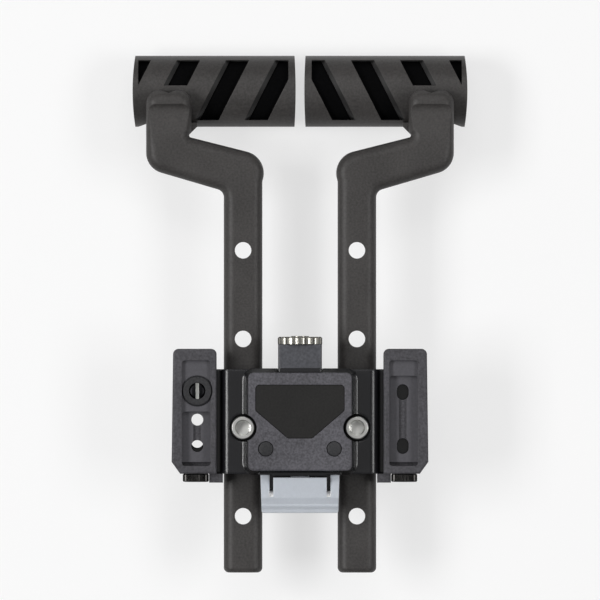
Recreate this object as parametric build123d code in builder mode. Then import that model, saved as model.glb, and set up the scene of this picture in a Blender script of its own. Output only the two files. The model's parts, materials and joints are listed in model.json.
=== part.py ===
from build123d import *
from math import radians, tan
import os

# Handlebar bag mount: two slotted half shells sit on the handlebar, their arms carry two rails, and a
# locking bracket with a sprung catch lever is screwed across the rails.
# Millimetres. X runs along the handlebar, Z is up, and the front faces -Y. The origin is on the
# handlebar's axis, midway between the shells. Depths are measured forwards from that axis.

# Half shells on the handlebar
bar_radius = 15.9
seat_clearance = 0.1
liner_thickness = 1.0
glue_gap = 0.1
shell_wall = 2.1
shell_gap = 4.7
shell_length = 88.0
shell_outer_bulge = 1.7
shell_inner_bulge = 0.75
shell_notch_width = 4.3
shell_notch_height = 1.6
liner_end_margin = 2.0
liner_edge_margin = 0.6

# Slanted slots in the shells
slot_count = 4
slot_end_room = 8.5
slot_width = 10.2
slot_slant = 27.0
slot_first = -1.35
slot_top_margin = 2.6
slot_bottom_margin = 3.6
slot_inner_margin = 3.9
slot_outer_margin = 3.0
slot_tongue_margin = 2.6
slot_rim_depth = 6.0
slot_bevel_width = 2.4
slot_bevel_depth = 1.6

# Arms: a tongue over the shell, a Z bend and a rail with through holes
arm_seat_gap = 0.4
arm_depth = 12.5
arm_edge_flat = 0.9
tongue_centre = 70.8
tongue_width = 24.4
tongue_top = 0.4
tongue_corner_radius = 7.0
dent_width = 8.0
dent_depth = 1.6
root_margin = 1.5
root_depth = 8.0
root_overlap = 4.0
gusset_reach = 3.1
shoulder_drop = 33.4
shoulder_radius = 11.2
knuckle_drop = 44.4
knuckle_radius = 12.0
knuckle_proud = 0.8
bend_radius = 4.5
crease_radius = 2.5
neck_radius = 1.2
rail_centre = 30.7
rail_width = 20.8
rail_bottom = 259.8
rail_end_radius = 2.8
rail_hole_radius = 4.45
rail_hole_first = 86.0
rail_hole_pitch = 47.8
rail_hole_count = 4
clamp_hole_index = 2

# Bracket body across the rails
rail_clearance = 0.15
saddle_depth = 11.0
saddle_wall = 1.4
saddle_edge_radius = 5.0
channel_depth = 10.0
body_above_screw = 31.5
body_below_screw = 24.8
pocket_wall = 3.0
web_depth = 6.0
web_reach = 18.5
latch_room_half = 14.5
latch_wall = 3.0
latch_roof = 7.0
skirt_half_width = 19.0
skirt_drop = 12.0

# Cover over the latch
cover_half_width = 30.2
cover_overlap = 0.5
cover_depth = 16.0
cover_wall = 2.5
cover_corner_radius = 5.4
cover_edge_radius = 0.9
cover_draft = 8.5
flange_width = 1.2
flange_corner_radius = 6.4
flange_edge_radius = 1.0
flange_depth = 1.8
sill_back = 7.6
sill_front = 9.0
sill_height = 3.0
lip_back = 3.6
lip_drop = 0.6
lip_height = 1.5
scallop_wall = 2.0
cover_post_radius = 3.2
cover_pad_radius = 5.2
cover_pad_depth = 4.5
cover_screw_spread = 18.4
plug_drop = 11.3
inlay_screw_rise = 19.5
fit_gap = 0.2

# Shield-shaped panel and the two round plugs in the cover
inlay_half_width = 24.0
inlay_rise = 23.2
inlay_side = 14.0
inlay_foot_half = 6.6
inlay_height = 28.9
inlay_sink = 1.6
inlay_thickness = 1.2
inlay_corner_radius = 2.2
inlay_clearance = 0.15
plug_radius = 4.1
plug_length = 2.0
plug_sink = 0.3
plug_clearance = 0.05

# Clamp screws, nuts and back plate
clamp_shank_radius = 4.0
clamp_head_radius = 6.5
clamp_head_height = 8.0
clamp_head_proud = 1.0
clamp_head_chamfer = 0.8
clamp_socket_flats = 6.0
clamp_socket_depth = 4.5
clamp_bore_radius = 4.4
counterbore_radius = 7.4
clamp_tail = 1.0
thread_fit = 0.05
nut_flats = 13.0
nut_thickness = 6.5
nut_clearance = 0.15
nut_sink = 2.5
plate_thickness = 6.0
plate_height = 22.0
plate_margin = 1.5
plate_corner_radius = 4.0
plate_edge_radius = 1.2
plate_rib_height = 5.0
plate_rib_depth = 3.0
plate_rib_inset = 4.0

# Lock tower, lock and cam
tower_half_width = 11.8
tower_height = 13.0
tower_setback = 3.2
tower_overlap = 5.0
tower_edge_radius = 1.0
lock_fit = 0.05
barrel_radius = 8.0
cap_radius = 12.1
cap_height = 4.0
cap_chamfer = 0.6
cap_scallops = 14
cap_scallop_radius = 4.5
cap_scallop_depth = 0.45
lock_plug_radius = 4.8
lock_plug_proud = 0.4
lock_plug_shoulder = 0.6
keyway_width = 1.4
keyway_length = 6.4
keyway_depth = 8.0
cam_thickness = 2.6
cam_hub_radius = 5.0
cam_reach = 9.0
cam_tip_radius = 2.2
cam_square = 5.0
cam_clearance = 0.05
cam_peen = 0.8

# Catch lever, its pin and its spring
lever_half_width = 21.3
lever_side_gap = 0.6
lever_arm_width = 4.9
lever_slot_width = 2.0
lever_slot_drop = 8.6
lever_slot_ramp = 3.4
lever_drop = 20.5
lever_taper = 0.7
lever_corner_radius = 1.2
lever_pin_rise = 6.4
lever_ear_radius = 3.8
lever_panel_front = 10.6
lever_panel_thickness = 5.2
lever_panel_gap = 1.5
lever_neck_front = 3.0
lever_notch_height = 4.5
lever_nose_drop = 15.9
lever_nose_reach = 3.0
lever_nose_edge = 0.8
lever_ramp = 3.6
lever_lip_front = 1.8
lever_lip_back = 3.2
lever_lip_height = 1.9
lever_back_height = 6.6
lever_edge_radius = 0.5
lever_tail_half = 5.0
lever_tail_thickness = 3.0
lever_tail_gap = 1.6
pin_radius = 2.0
pin_grip = 3.6
pin_clearance = 0.05
pin_seat_clearance = 0.02
spring_thickness = 0.4
spring_half_width = 4.0
spring_gap = 0.15
spring_bend_radius = 1.5
spring_top_drop = 6.0
spring_length = 26.0
spring_tip_drop = 8.0
spring_peg_radius = 1.4
spring_peg_drop = 6.0
spring_peg_length = 1.6
spring_peg_clearance = 0.1

# Small screws
cover_screw_radius = 1.5
cover_screw_head_radius = 2.8
cover_screw_head_height = 2.0
cover_screw_seat = 5.0
cover_screw_grip = 7.0
wing_screw_radius = 2.0
wing_screw_head_radius = 3.6
wing_screw_head_height = 2.2
wing_screw_grip = 6.0
wing_screw_inset = 5.0
wing_screw_margin = 6.5
screw_fit = 0.05

# Wings beside the bracket
wing_gap = 2.3
wing_width = 24.2
wing_taper = 0.8
wing_depth = 14.0
wing_rise = 11.0
wing_corner_radius = 3.0
wing_chamfer_width = 4.6
wing_chamfer_height = 6.4
wing_edge_radius = 1.2
recess_inset = 3.1
recess_width = 15.6
recess_top_margin = 6.3
recess_bottom_margin = 4.2
recess_radius = 1.8
recess_shallow = 2.2
recess_deep = 4.6
gutter_height = 2.0
gutter_depth = 2.6
right_step_drop = 14.6
left_step_drop = 33.9
cable_inset = 10.4
cable_hole_width = 6.4
cable_hole_height = 8.4
right_hole_drop = 23.3
left_hole_drop = 38.2
low_hole_rise = 14.9
web_hole_offset = 2.2
cable_groove_width = 4.2
cable_groove_depth = 1.4
foot_drop = 4.8
foot_depth = 8.0
foot_overhang = 3.4
foot_gap = 0.4

# Tension screws under the wings and the cable plug in the left wing
tension_inset = 11.2
tension_depth = 6.4
tension_head_radius = 6.8
tension_head_height = 4.4
tension_shank_radius = 2.5
tension_shank_length = 3.6
tension_socket_flats = 5.0
tension_socket_depth = 2.5
cable_plug_radius = 8.2
cable_plug_drop = 22.7
cable_plug_depth = 6.8
cable_plug_sink = 0.8
cable_plug_fit = 0.05
cable_plug_chamfer = 0.8
cable_screw_radius = 4.4
cable_screw_sink = 0.6
cable_screw_length = 5.0
cable_screw_slot_width = 1.5
cable_screw_slot_depth = 1.6

# Places that follow from those sizes
seat_radius = bar_radius + seat_clearance
liner_outer = seat_radius + liner_thickness
shell_inner = liner_outer + glue_gap
shell_outer = shell_inner + shell_wall
shell_start = shell_gap / 2
shell_end = shell_start + shell_length
slot_pitch = (shell_length - slot_end_room) / (slot_count - 1)
arm_back = shell_inner + arm_seat_gap
arm_front = arm_back + arm_depth
arm_edge_radius = (arm_depth - arm_edge_flat) / 2
tongue_inner = tongue_centre - tongue_width / 2
tongue_outer = tongue_centre + tongue_width / 2
dent_side = (dent_width ** 2 / 4 + dent_depth ** 2) ** 0.5
shoulder_x = tongue_outer - shoulder_radius
neck_x = (tongue_inner + shoulder_x) / 2
neck_z = -shell_outer - gusset_reach - (neck_x - tongue_inner)
rail_inner = rail_centre - rail_width / 2
rail_outer = rail_centre + rail_width / 2
knuckle_x = rail_inner - knuckle_proud + knuckle_radius
rail_holes = [-rail_hole_first - rail_hole_pitch * i for i in range(rail_hole_count)]
screw_z = rail_holes[clamp_hole_index]
body_front = arm_front + saddle_depth
body_back = arm_front - channel_depth
body_top = screw_z + body_above_screw
body_bottom = screw_z - body_below_screw
body_middle = (body_top + body_bottom) / 2
body_height = body_top - body_bottom
saddle_outer = rail_outer + rail_clearance + saddle_wall
latch_back = arm_front + latch_wall
latch_top = body_top - latch_roof
cover_front = body_front + cover_depth
cover_inside = cover_front - cover_wall
cover_lean = cover_depth * tan(radians(cover_draft))
cover_room_half = cover_half_width - cover_lean - cover_wall
cover_top = body_top + cover_overlap
cover_bottom = body_bottom - cover_overlap
cover_screw_places = [
    (side * cover_screw_spread, height)
    for side in (-1, 1)
    for height in (screw_z - plug_drop, screw_z + inlay_screw_rise)
]
cover_screw_depth = cover_front - cover_screw_seat
inlay_top = screw_z + inlay_rise
seat_depth = body_front + clamp_head_proud - clamp_head_height
plate_back = arm_back - plate_thickness
nut_front = plate_back + nut_sink
tower_front = cover_front - tower_setback
tower_back = body_front - tower_overlap
lock_depth = (tower_front + tower_back) / 2
tower_top = cover_top + tower_height
cam_top = latch_top - lock_plug_shoulder
cam_bottom = cam_top - cam_thickness
lever_z = body_bottom + lever_pin_rise
lever_room_half = lever_half_width + lever_side_gap
lever_room_top = lever_z + lever_ear_radius + lever_side_gap
lever_front = body_front + lever_panel_front
lever_back = lever_front - lever_panel_thickness
lever_bottom = cover_bottom - lever_drop
lever_slot_foot = cover_bottom - lever_slot_drop
lever_ramp_foot = lever_slot_foot - lever_slot_ramp
lever_panel_half = lever_half_width - lever_arm_width - lever_slot_width
tail_top = cam_bottom - cam_peen - lever_tail_gap
tail_front = body_front + lever_tail_thickness / 2
web_front = arm_front
web_back = web_front - web_depth
wing_inner = saddle_outer + wing_gap
wing_outer = wing_inner + wing_width
wing_front = web_front + wing_depth
wing_top = body_top + wing_rise
wing_bottom = body_bottom
cable_x = wing_inner + cable_inset
recess_x = wing_inner + recess_inset
recess_top = wing_top - recess_top_margin
recess_bottom = wing_bottom + recess_bottom_margin
low_hole_z = wing_bottom + low_hole_rise
wing_screw_x = wing_inner + wing_screw_inset
wing_screw_top = body_top - wing_screw_margin
wing_screw_foot = body_bottom + wing_screw_margin
wing_screw_places = [
    (side * wing_screw_x, height) for side in (-1, 1) for height in (wing_screw_top, wing_screw_foot)
]
tension_x = wing_inner + tension_inset
tension_y = -(web_front + tension_depth)
cable_plug_front = wing_front - cable_plug_sink
cable_plug_z = wing_top - cable_plug_drop


def front(depth):
    """Plane that faces the front at a depth, with X to the right and Z up."""
    return Plane.XZ.offset(depth)


def level(height):
    """Horizontal plane at a height, with X to the right and Y to the back."""
    return Plane.XY.offset(height)


def near(vertices, *places):
    """The vertex nearest to each place in a sketch."""
    return [vertices.sort_by_distance(place)[0] for place in places]


# Half shell for the right-hand side: half a tube with bulged ends, a notch under the arm and
# slanted slots whose outer walls are bevelled.
with BuildPart() as shell:
    with BuildSketch(Plane.YZ.offset(shell_start)):
        Circle(shell_outer)
        Circle(shell_inner, mode=Mode.SUBTRACT)
        Rectangle(shell_outer, 2 * shell_outer, align=(Align.MIN, Align.CENTER), mode=Mode.SUBTRACT)
    extrude(amount=shell_length)
    with BuildSketch(front(0)):
        with BuildLine():
            start_x = shell_start + shell_inner_bulge
            end_x = shell_end - shell_outer_bulge
            reach = shell_outer + shell_wall
            ThreePointArc((end_x, reach), (shell_end, 0), (end_x, -reach))
            Line((end_x, -reach), (start_x, -reach))
            ThreePointArc((start_x, -reach), (shell_start, 0), (start_x, reach))
            Line((start_x, reach), (end_x, reach))
        make_face()
        with BuildLine():
            Polyline(
                (tongue_outer, -shell_outer + shell_notch_height),
                (tongue_outer + 2 * shell_notch_width, -shell_outer - shell_notch_height),
                (tongue_outer, -shell_outer - shell_notch_height),
                close=True,
            )
        make_face(mode=Mode.SUBTRACT)
    extrude(amount=reach, mode=Mode.INTERSECT)

    slot_top = shell_outer - slot_top_margin
    slot_bottom = -shell_outer + slot_bottom_margin
    slot_left = shell_start + slot_inner_margin
    slot_right = shell_end - slot_outer_margin
    slot_run = tan(radians(slot_slant))
    slot_shift = (slot_top - slot_bottom) * slot_run
    slot_starts = [shell_start + slot_first + slot_pitch * i for i in range(slot_count)]
    with BuildSketch(front(slot_rim_depth)):
        for start in slot_starts:
            with BuildLine():
                Polyline(
                    (start, slot_top),
                    (start + slot_width, slot_top),
                    (start + slot_width + slot_shift, slot_bottom),
                    (start + slot_shift, slot_bottom),
                    close=True,
                )
            make_face()
        with Locations((slot_left, slot_bottom)):
            Rectangle(
                slot_right - slot_left,
                slot_top - slot_bottom,
                align=(Align.MIN, Align.MIN),
                mode=Mode.INTERSECT,
            )
        with Locations((tongue_inner - slot_tongue_margin, tongue_top + slot_tongue_margin)):
            Rectangle(shell_length, 2 * shell_outer, align=(Align.MIN, Align.MAX), mode=Mode.SUBTRACT)
    extrude(amount=shell_outer, mode=Mode.SUBTRACT)

    outer_face = shell.faces().filter_by(GeomType.CYLINDER).sort_by(SortBy.AREA)[-1]
    bevels = [
        edge
        for edge in outer_face.edges()
        for start in slot_starts
        if abs((edge @ 0.5).X - (slot_top - (edge @ 0.5).Z) * slot_run - start - slot_width) < glue_gap
    ]
    chamfer(bevels, slot_bevel_width, slot_bevel_depth, reference=outer_face)

# Right arm: plate with rounded edges, its root on the shell, the shell and the rail's holes
with BuildPart() as right_arm:
    with BuildSketch(front(arm_back)) as arm_outline:
        with Locations((shoulder_x, -shoulder_drop)):
            Circle(shoulder_radius)
        with Locations((knuckle_x, -knuckle_drop)):
            Circle(knuckle_radius)
        make_hull()
        with BuildLine():
            Polyline(
                (tongue_inner, tongue_top),
                (tongue_outer, tongue_top),
                (tongue_outer, -shoulder_drop),
                (shoulder_x, -shoulder_drop),
                (neck_x, neck_z),
                (tongue_inner, -shell_outer - gusset_reach),
                close=True,
            )
        make_face()
        with Locations((rail_centre, -knuckle_drop)):
            Rectangle(rail_width, rail_bottom - knuckle_drop, align=(Align.CENTER, Align.MAX))
        fillet(
            near(arm_outline.vertices(), (tongue_inner, tongue_top), (tongue_outer, tongue_top)),
            tongue_corner_radius,
        )
        fillet(near(arm_outline.vertices(), (rail_outer, -knuckle_drop - knuckle_radius)), bend_radius)
    extrude(amount=arm_depth)
    upright_edges = right_arm.edges().filter_by(Axis.Y)
    knuckle_foot = (rail_inner, -arm_back, -knuckle_drop - knuckle_radius / 2)
    knuckle_crease = upright_edges.sort_by_distance(knuckle_foot)[0]
    neck_crease = upright_edges.sort_by_distance((neck_x, -arm_back, neck_z))[0]
    fillet(knuckle_crease, crease_radius)
    fillet(neck_crease, neck_radius)
    arm_faces = right_arm.faces().filter_by(Axis.Y).sort_by(Axis.Y)
    outline_edges = arm_faces[0].edges() + arm_faces[-1].edges()
    rail_foot = rail_end_radius - rail_bottom
    fillet(outline_edges.filter_by(lambda edge: edge.center().Z > rail_foot), arm_edge_radius)
    fillet(right_arm.faces().sort_by(Axis.Z)[0].edges(), rail_end_radius)
    with BuildSketch(front(arm_back)):
        with Locations((tongue_centre, tongue_top)):
            Triangle(a=dent_width, b=dent_side, c=dent_side, align=(Align.CENTER, Align.MIN), rotation=180)
    extrude(amount=arm_depth, mode=Mode.SUBTRACT)

    with BuildSketch(front(root_depth)):
        with BuildLine():
            Polyline(
                (tongue_inner - gusset_reach, -shell_inner),
                (tongue_inner - gusset_reach, -shell_outer),
                (tongue_inner, -shell_outer - gusset_reach),
                (neck_x, neck_z),
                (tongue_outer - root_margin, neck_z),
                (tongue_outer - root_margin, -tongue_corner_radius),
                (tongue_inner + root_margin, -tongue_corner_radius),
                (tongue_inner + root_margin, -shell_inner),
                close=True,
            )
        make_face()
    extrude(amount=arm_back + root_overlap - root_depth)
    with BuildSketch(Plane.YZ.offset(shell_start)):
        Circle(shell_inner)
    extrude(amount=shell_length, mode=Mode.SUBTRACT)
    add(shell.part)
    with BuildSketch(front(arm_back)):
        with Locations(*[(rail_centre, height) for height in rail_holes]):
            Circle(rail_hole_radius)
    extrude(amount=arm_depth, mode=Mode.SUBTRACT)

with BuildPart() as left_arm:
    mirror(right_arm.part, about=Plane.YZ)

# Rubber liners, half-round pads glued into the shells
with BuildPart() as right_liner:
    with BuildSketch(Plane.YZ.offset(shell_start + liner_end_margin)):
        Circle(liner_outer)
        Circle(seat_radius, mode=Mode.SUBTRACT)
        with Locations((-liner_edge_margin, 0)):
            Rectangle(2 * liner_outer, 2 * liner_outer, align=(Align.MIN, Align.CENTER), mode=Mode.SUBTRACT)
    extrude(amount=shell_length - 2 * liner_end_margin)

with BuildPart() as left_liner:
    mirror(right_liner.part, about=Plane.YZ)

# Bracket body: saddles over both rails, webs that carry the wings, a room for the latch with a skirt
# behind the lever, and the lock tower
with BuildPart() as holder_body:
    with BuildSketch(front(body_back)):
        with Locations((0, body_middle)):
            Rectangle(2 * saddle_outer, body_height)
    extrude(amount=body_front - body_back)
    fillet(holder_body.edges().filter_by(Axis.Z).group_by(Axis.Y)[0], saddle_edge_radius)
    with BuildSketch(front(web_back)):
        with Locations((0, body_middle)):
            Rectangle(2 * (saddle_outer + web_reach), body_height)
    extrude(amount=web_depth)
    with BuildSketch(level(body_bottom)) as channels:
        with Locations((-rail_centre, -arm_front), (rail_centre, -arm_front)):
            Rectangle(rail_width + 2 * rail_clearance, channel_depth, align=(Align.CENTER, Align.MIN))
        fillet(channels.vertices().group_by(Axis.Y)[0], arm_edge_radius - rail_clearance)
    extrude(amount=body_height, mode=Mode.SUBTRACT)
    with BuildSketch(front(body_back)):
        with Locations((0, body_middle)):
            Rectangle(2 * (rail_inner - rail_clearance - pocket_wall), body_height - 2 * pocket_wall)
    extrude(amount=channel_depth, mode=Mode.SUBTRACT)

    with BuildSketch(front(arm_front)):
        with Locations((0, body_bottom)):
            Rectangle(2 * skirt_half_width, skirt_drop, align=(Align.CENTER, Align.MAX))
    extrude(amount=latch_wall)

    with BuildSketch(front(latch_back)):
        with Locations((0, latch_top)):
            Rectangle(2 * latch_room_half, latch_top - body_bottom, align=(Align.CENTER, Align.MAX))
        with Locations((0, lever_room_top)):
            Rectangle(2 * lever_room_half, lever_room_top - body_bottom, align=(Align.CENTER, Align.MAX))
    extrude(amount=body_front - latch_back, mode=Mode.SUBTRACT)
    with BuildSketch(Plane.YZ):
        with Locations((-body_front, lever_z)):
            Circle(pin_radius + pin_seat_clearance)
    extrude(amount=lever_room_half + pin_grip, both=True, mode=Mode.SUBTRACT)

    with BuildSketch(level(latch_top)) as tower_outline:
        with Locations((0, -lock_depth)):
            Rectangle(2 * tower_half_width, tower_front - tower_back)
        fillet(tower_outline.vertices(), tower_edge_radius)
    extrude(amount=tower_top - latch_top)
    with BuildSketch(level(latch_top)):
        with Locations((0, -lock_depth)):
            Circle(barrel_radius + lock_fit)
    extrude(amount=tower_top - latch_top, mode=Mode.SUBTRACT)

    with Locations(Plane((0, -body_front, screw_z), x_dir=(1, 0, 0), z_dir=(0, -1, 0))):
        with GridLocations(2 * rail_centre, 0, 2, 1):
            CounterBoreHole(clamp_bore_radius, counterbore_radius, body_front - seat_depth)
    with Locations(front(body_front)):
        with Locations(*cover_screw_places):
            Hole(cover_screw_radius + screw_fit, cover_screw_grip)
    with BuildSketch(front(web_back)):
        with Locations(*wing_screw_places):
            Circle(wing_screw_radius + screw_fit)
        with Locations((-cable_x, wing_top - left_hole_drop), (-cable_x, low_hole_z + web_hole_offset)):
            Circle(cable_hole_width / 2)
    extrude(amount=web_depth, mode=Mode.SUBTRACT)

# Cover: a thin-walled cap with a flange, screw posts and openings for the tower and the lever, with
# a sill in front of the lever's arms and a lip between them
with BuildPart() as front_cover:
    with BuildSketch(front(body_front)):
        with Locations((0, body_middle)):
            RectangleRounded(
                2 * (cover_half_width + flange_width), cover_top - cover_bottom, flange_corner_radius
            )
    extrude(amount=flange_depth)
    fillet(front_cover.faces().sort_by(Axis.Y)[0].edges(), flange_edge_radius)
    with BuildSketch(front(body_front)):
        with Locations((0, body_middle)):
            RectangleRounded(2 * cover_half_width, cover_top - cover_bottom, cover_corner_radius)
    extrude(amount=cover_depth, taper=cover_draft)
    fillet(front_cover.faces().sort_by(Axis.Y)[0].edges(), cover_edge_radius)
    for depth, end_depth, post_radius in (
        (body_front, cover_inside - cover_pad_depth, cover_post_radius),
        (cover_inside - cover_pad_depth, cover_inside, cover_pad_radius),
    ):
        with BuildSketch(front(depth)):
            with Locations((0, body_middle)):
                Rectangle(2 * cover_room_half, cover_top - cover_bottom - 2 * cover_lean - 2 * cover_wall)
            with Locations((-rail_centre, screw_z), (rail_centre, screw_z)):
                Circle(counterbore_radius + scallop_wall, mode=Mode.SUBTRACT)
            with Locations(*cover_screw_places):
                Circle(post_radius, mode=Mode.SUBTRACT)
            with Locations((-lever_room_half, cover_bottom), (lever_room_half + pin_grip, cover_bottom)):
                Rectangle(
                    pin_grip,
                    lever_room_top - cover_bottom,
                    align=(Align.MAX, Align.MIN),
                    mode=Mode.SUBTRACT,
                )
        extrude(amount=end_depth - depth, mode=Mode.SUBTRACT)
    with BuildSketch(front(body_front)):
        with Locations((-rail_centre, screw_z), (rail_centre, screw_z)):
            Circle(counterbore_radius)
    extrude(amount=cover_depth, mode=Mode.SUBTRACT)
    with BuildSketch(front(body_front)):
        with Locations((0, cover_top)):
            Rectangle(
                2 * (tower_half_width + fit_gap),
                2 * (cover_wall + cover_lean),
                align=(Align.CENTER, Align.MAX),
            )
    extrude(amount=tower_front + fit_gap - body_front, mode=Mode.SUBTRACT)
    with BuildSketch(front(body_front)):
        with Locations((0, cover_bottom)):
            Rectangle(
                2 * lever_room_half, 2 * (cover_wall + cover_lean), align=(Align.CENTER, Align.MIN)
            )
    extrude(amount=sill_back, mode=Mode.SUBTRACT)
    with BuildSketch(front(body_front + sill_back)):
        with Locations((0, cover_bottom)):
            Rectangle(2 * lever_room_half, sill_height, align=(Align.CENTER, Align.MIN))
    extrude(amount=sill_front - sill_back)
    with BuildSketch(front(body_front + lip_back)):
        with Locations((0, cover_bottom - lip_drop)):
            Rectangle(2 * lever_panel_half, lip_height, align=(Align.CENTER, Align.MIN))
    extrude(amount=sill_front - lip_back)
    with BuildSketch(Plane.YZ):
        with Locations((-body_front, lever_z)):
            Circle(pin_radius + pin_seat_clearance)
    extrude(amount=lever_room_half + pin_grip, both=True, mode=Mode.SUBTRACT)
    with BuildSketch(front(cover_front - inlay_sink)) as inlay_pocket:
        with BuildLine():
            Polyline(
                (-inlay_half_width, inlay_top),
                (inlay_half_width, inlay_top),
                (inlay_half_width, inlay_top - inlay_side),
                (inlay_foot_half, inlay_top - inlay_height),
                (-inlay_foot_half, inlay_top - inlay_height),
                (-inlay_half_width, inlay_top - inlay_side),
                close=True,
            )
        make_face()
        fillet(inlay_pocket.vertices(), inlay_corner_radius)
    extrude(amount=inlay_sink, mode=Mode.SUBTRACT)
    with BuildSketch(front(body_front)):
        with Locations(*cover_screw_places):
            Circle(cover_screw_radius + screw_fit)
    extrude(amount=cover_depth, mode=Mode.SUBTRACT)
    with BuildSketch(front(cover_screw_depth)):
        with Locations(*cover_screw_places):
            Circle(cover_screw_head_radius + screw_fit)
    extrude(amount=cover_screw_seat, mode=Mode.SUBTRACT)
    with BuildSketch(front(cover_front - plug_sink - plug_length)):
        with Locations(*[place for place in cover_screw_places if place[1] < screw_z]):
            Circle(plug_radius + plug_clearance)
    extrude(amount=plug_length + plug_sink, mode=Mode.SUBTRACT)
    with BuildSketch(front(cover_inside - spring_peg_length)):
        with Locations((0, tail_top - spring_top_drop - spring_peg_drop)):
            Circle(spring_peg_radius)
    extrude(amount=spring_peg_length)

# Bare shield-shaped panel in the cover
with BuildPart() as cover_inlay:
    with BuildSketch(front(cover_front - inlay_sink)):
        add(inlay_pocket.sketch_local)
        offset(amount=-inlay_clearance, kind=Kind.INTERSECTION, mode=Mode.REPLACE)
    extrude(amount=inlay_thickness)

# Round plugs over the cover's lower screws
with BuildPart() as cover_plugs:
    with BuildSketch(front(cover_front - plug_sink - plug_length)):
        with Locations(*[place for place in cover_screw_places if place[1] < screw_z]):
            Circle(plug_radius)
    extrude(amount=plug_length)

# Four screws that hold the cover on the body
with BuildPart() as cover_screws:
    with BuildSketch(front(body_front - cover_screw_grip)):
        with Locations(*cover_screw_places):
            Circle(cover_screw_radius)
    extrude(amount=cover_screw_depth - body_front + cover_screw_grip)
    with BuildSketch(front(cover_screw_depth)):
        with Locations(*cover_screw_places):
            Circle(cover_screw_head_radius)
    extrude(amount=cover_screw_head_height)

# Socket head clamp screw through a saddle, a rail and the back plate
with BuildPart() as right_rail_screw:
    with BuildSketch(front(seat_depth)):
        with Locations((rail_centre, screw_z)):
            Circle(clamp_head_radius)
    extrude(amount=clamp_head_height)
    chamfer(right_rail_screw.edges().group_by(Axis.Y)[0], clamp_head_chamfer)
    with BuildSketch(front(seat_depth + clamp_head_height)):
        with Locations((rail_centre, screw_z)):
            RegularPolygon(clamp_socket_flats / 2, 6, major_radius=False)
    extrude(amount=-clamp_socket_depth, mode=Mode.SUBTRACT)
    with BuildSketch(front(nut_front - nut_thickness - clamp_tail)):
        with Locations((rail_centre, screw_z)):
            Circle(clamp_shank_radius)
    extrude(amount=seat_depth - nut_front + nut_thickness + clamp_tail)

with BuildPart() as left_rail_screw:
    mirror(right_rail_screw.part, about=Plane.YZ)

# Back plate that ties the rails, with a nut pocket behind each rail and a stiffening rib
with BuildPart() as back_plate:
    with BuildSketch(front(plate_back)):
        with Locations((0, screw_z)):
            RectangleRounded(2 * (rail_outer + plate_margin), plate_height, plate_corner_radius)
    extrude(amount=plate_thickness)
    fillet(back_plate.faces().sort_by(Axis.Y)[-1].edges(), plate_edge_radius)
    with BuildSketch(front(plate_back)):
        with Locations((0, screw_z)):
            Rectangle(2 * (rail_inner - plate_rib_inset), plate_rib_height)
    extrude(amount=-plate_rib_depth)
    with BuildSketch(front(plate_back)):
        with Locations((-rail_centre, screw_z), (rail_centre, screw_z)):
            RegularPolygon(nut_flats / 2 + nut_clearance, 6, major_radius=False)
    extrude(amount=nut_sink, mode=Mode.SUBTRACT)
    with BuildSketch(front(plate_back)):
        with Locations((-rail_centre, screw_z), (rail_centre, screw_z)):
            Circle(clamp_bore_radius)
    extrude(amount=plate_thickness, mode=Mode.SUBTRACT)

# Hexagon nuts in the back plate
with BuildPart() as rail_nuts:
    with BuildSketch(front(nut_front - nut_thickness)):
        with Locations((-rail_centre, screw_z), (rail_centre, screw_z)):
            RegularPolygon(nut_flats / 2, 6, major_radius=False)
            Circle(clamp_shank_radius + thread_fit, mode=Mode.SUBTRACT)
    extrude(amount=nut_thickness)

# Lock: a barrel with a scalloped cap, a plug with a keyway and a cam on the plug's square end
with BuildPart() as lock_barrel:
    with BuildSketch(level(tower_top)):
        with Locations((0, -lock_depth)):
            Circle(cap_radius)
            with PolarLocations(cap_radius + cap_scallop_radius - cap_scallop_depth, cap_scallops):
                Circle(cap_scallop_radius, mode=Mode.SUBTRACT)
    extrude(amount=cap_height)
    chamfer(lock_barrel.faces().sort_by(Axis.Z)[-1].edges(), cap_chamfer)
    with BuildSketch(level(latch_top)):
        with Locations((0, -lock_depth)):
            Circle(barrel_radius)
    extrude(amount=tower_top - latch_top)
    with BuildSketch(level(latch_top)):
        with Locations((0, -lock_depth)):
            Circle(lock_plug_radius + lock_fit)
    extrude(amount=tower_top + cap_height - latch_top, mode=Mode.SUBTRACT)

with BuildPart() as lock_plug:
    with BuildSketch(level(cam_top)):
        with Locations((0, -lock_depth)):
            Circle(lock_plug_radius)
    extrude(amount=tower_top + cap_height + lock_plug_proud - cam_top)
    with BuildSketch(level(tower_top + cap_height + lock_plug_proud)):
        with Locations((0, -lock_depth)):
            Rectangle(keyway_width, keyway_length)
    extrude(amount=-keyway_depth, mode=Mode.SUBTRACT)
    with BuildSketch(level(cam_bottom - cam_peen)):
        with Locations((0, -lock_depth)):
            Rectangle(cam_square, cam_square)
    extrude(amount=cam_thickness + cam_peen)

with BuildPart() as lock_cam:
    with BuildSketch(level(cam_bottom)):
        with Locations((0, -lock_depth)):
            Circle(cam_hub_radius)
        with Locations((cam_reach, -lock_depth)):
            Circle(cam_tip_radius)
        make_hull()
        with Locations((0, -lock_depth)):
            Rectangle(
                cam_square + 2 * cam_clearance, cam_square + 2 * cam_clearance, mode=Mode.SUBTRACT
            )
    extrude(amount=cam_thickness)

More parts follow.
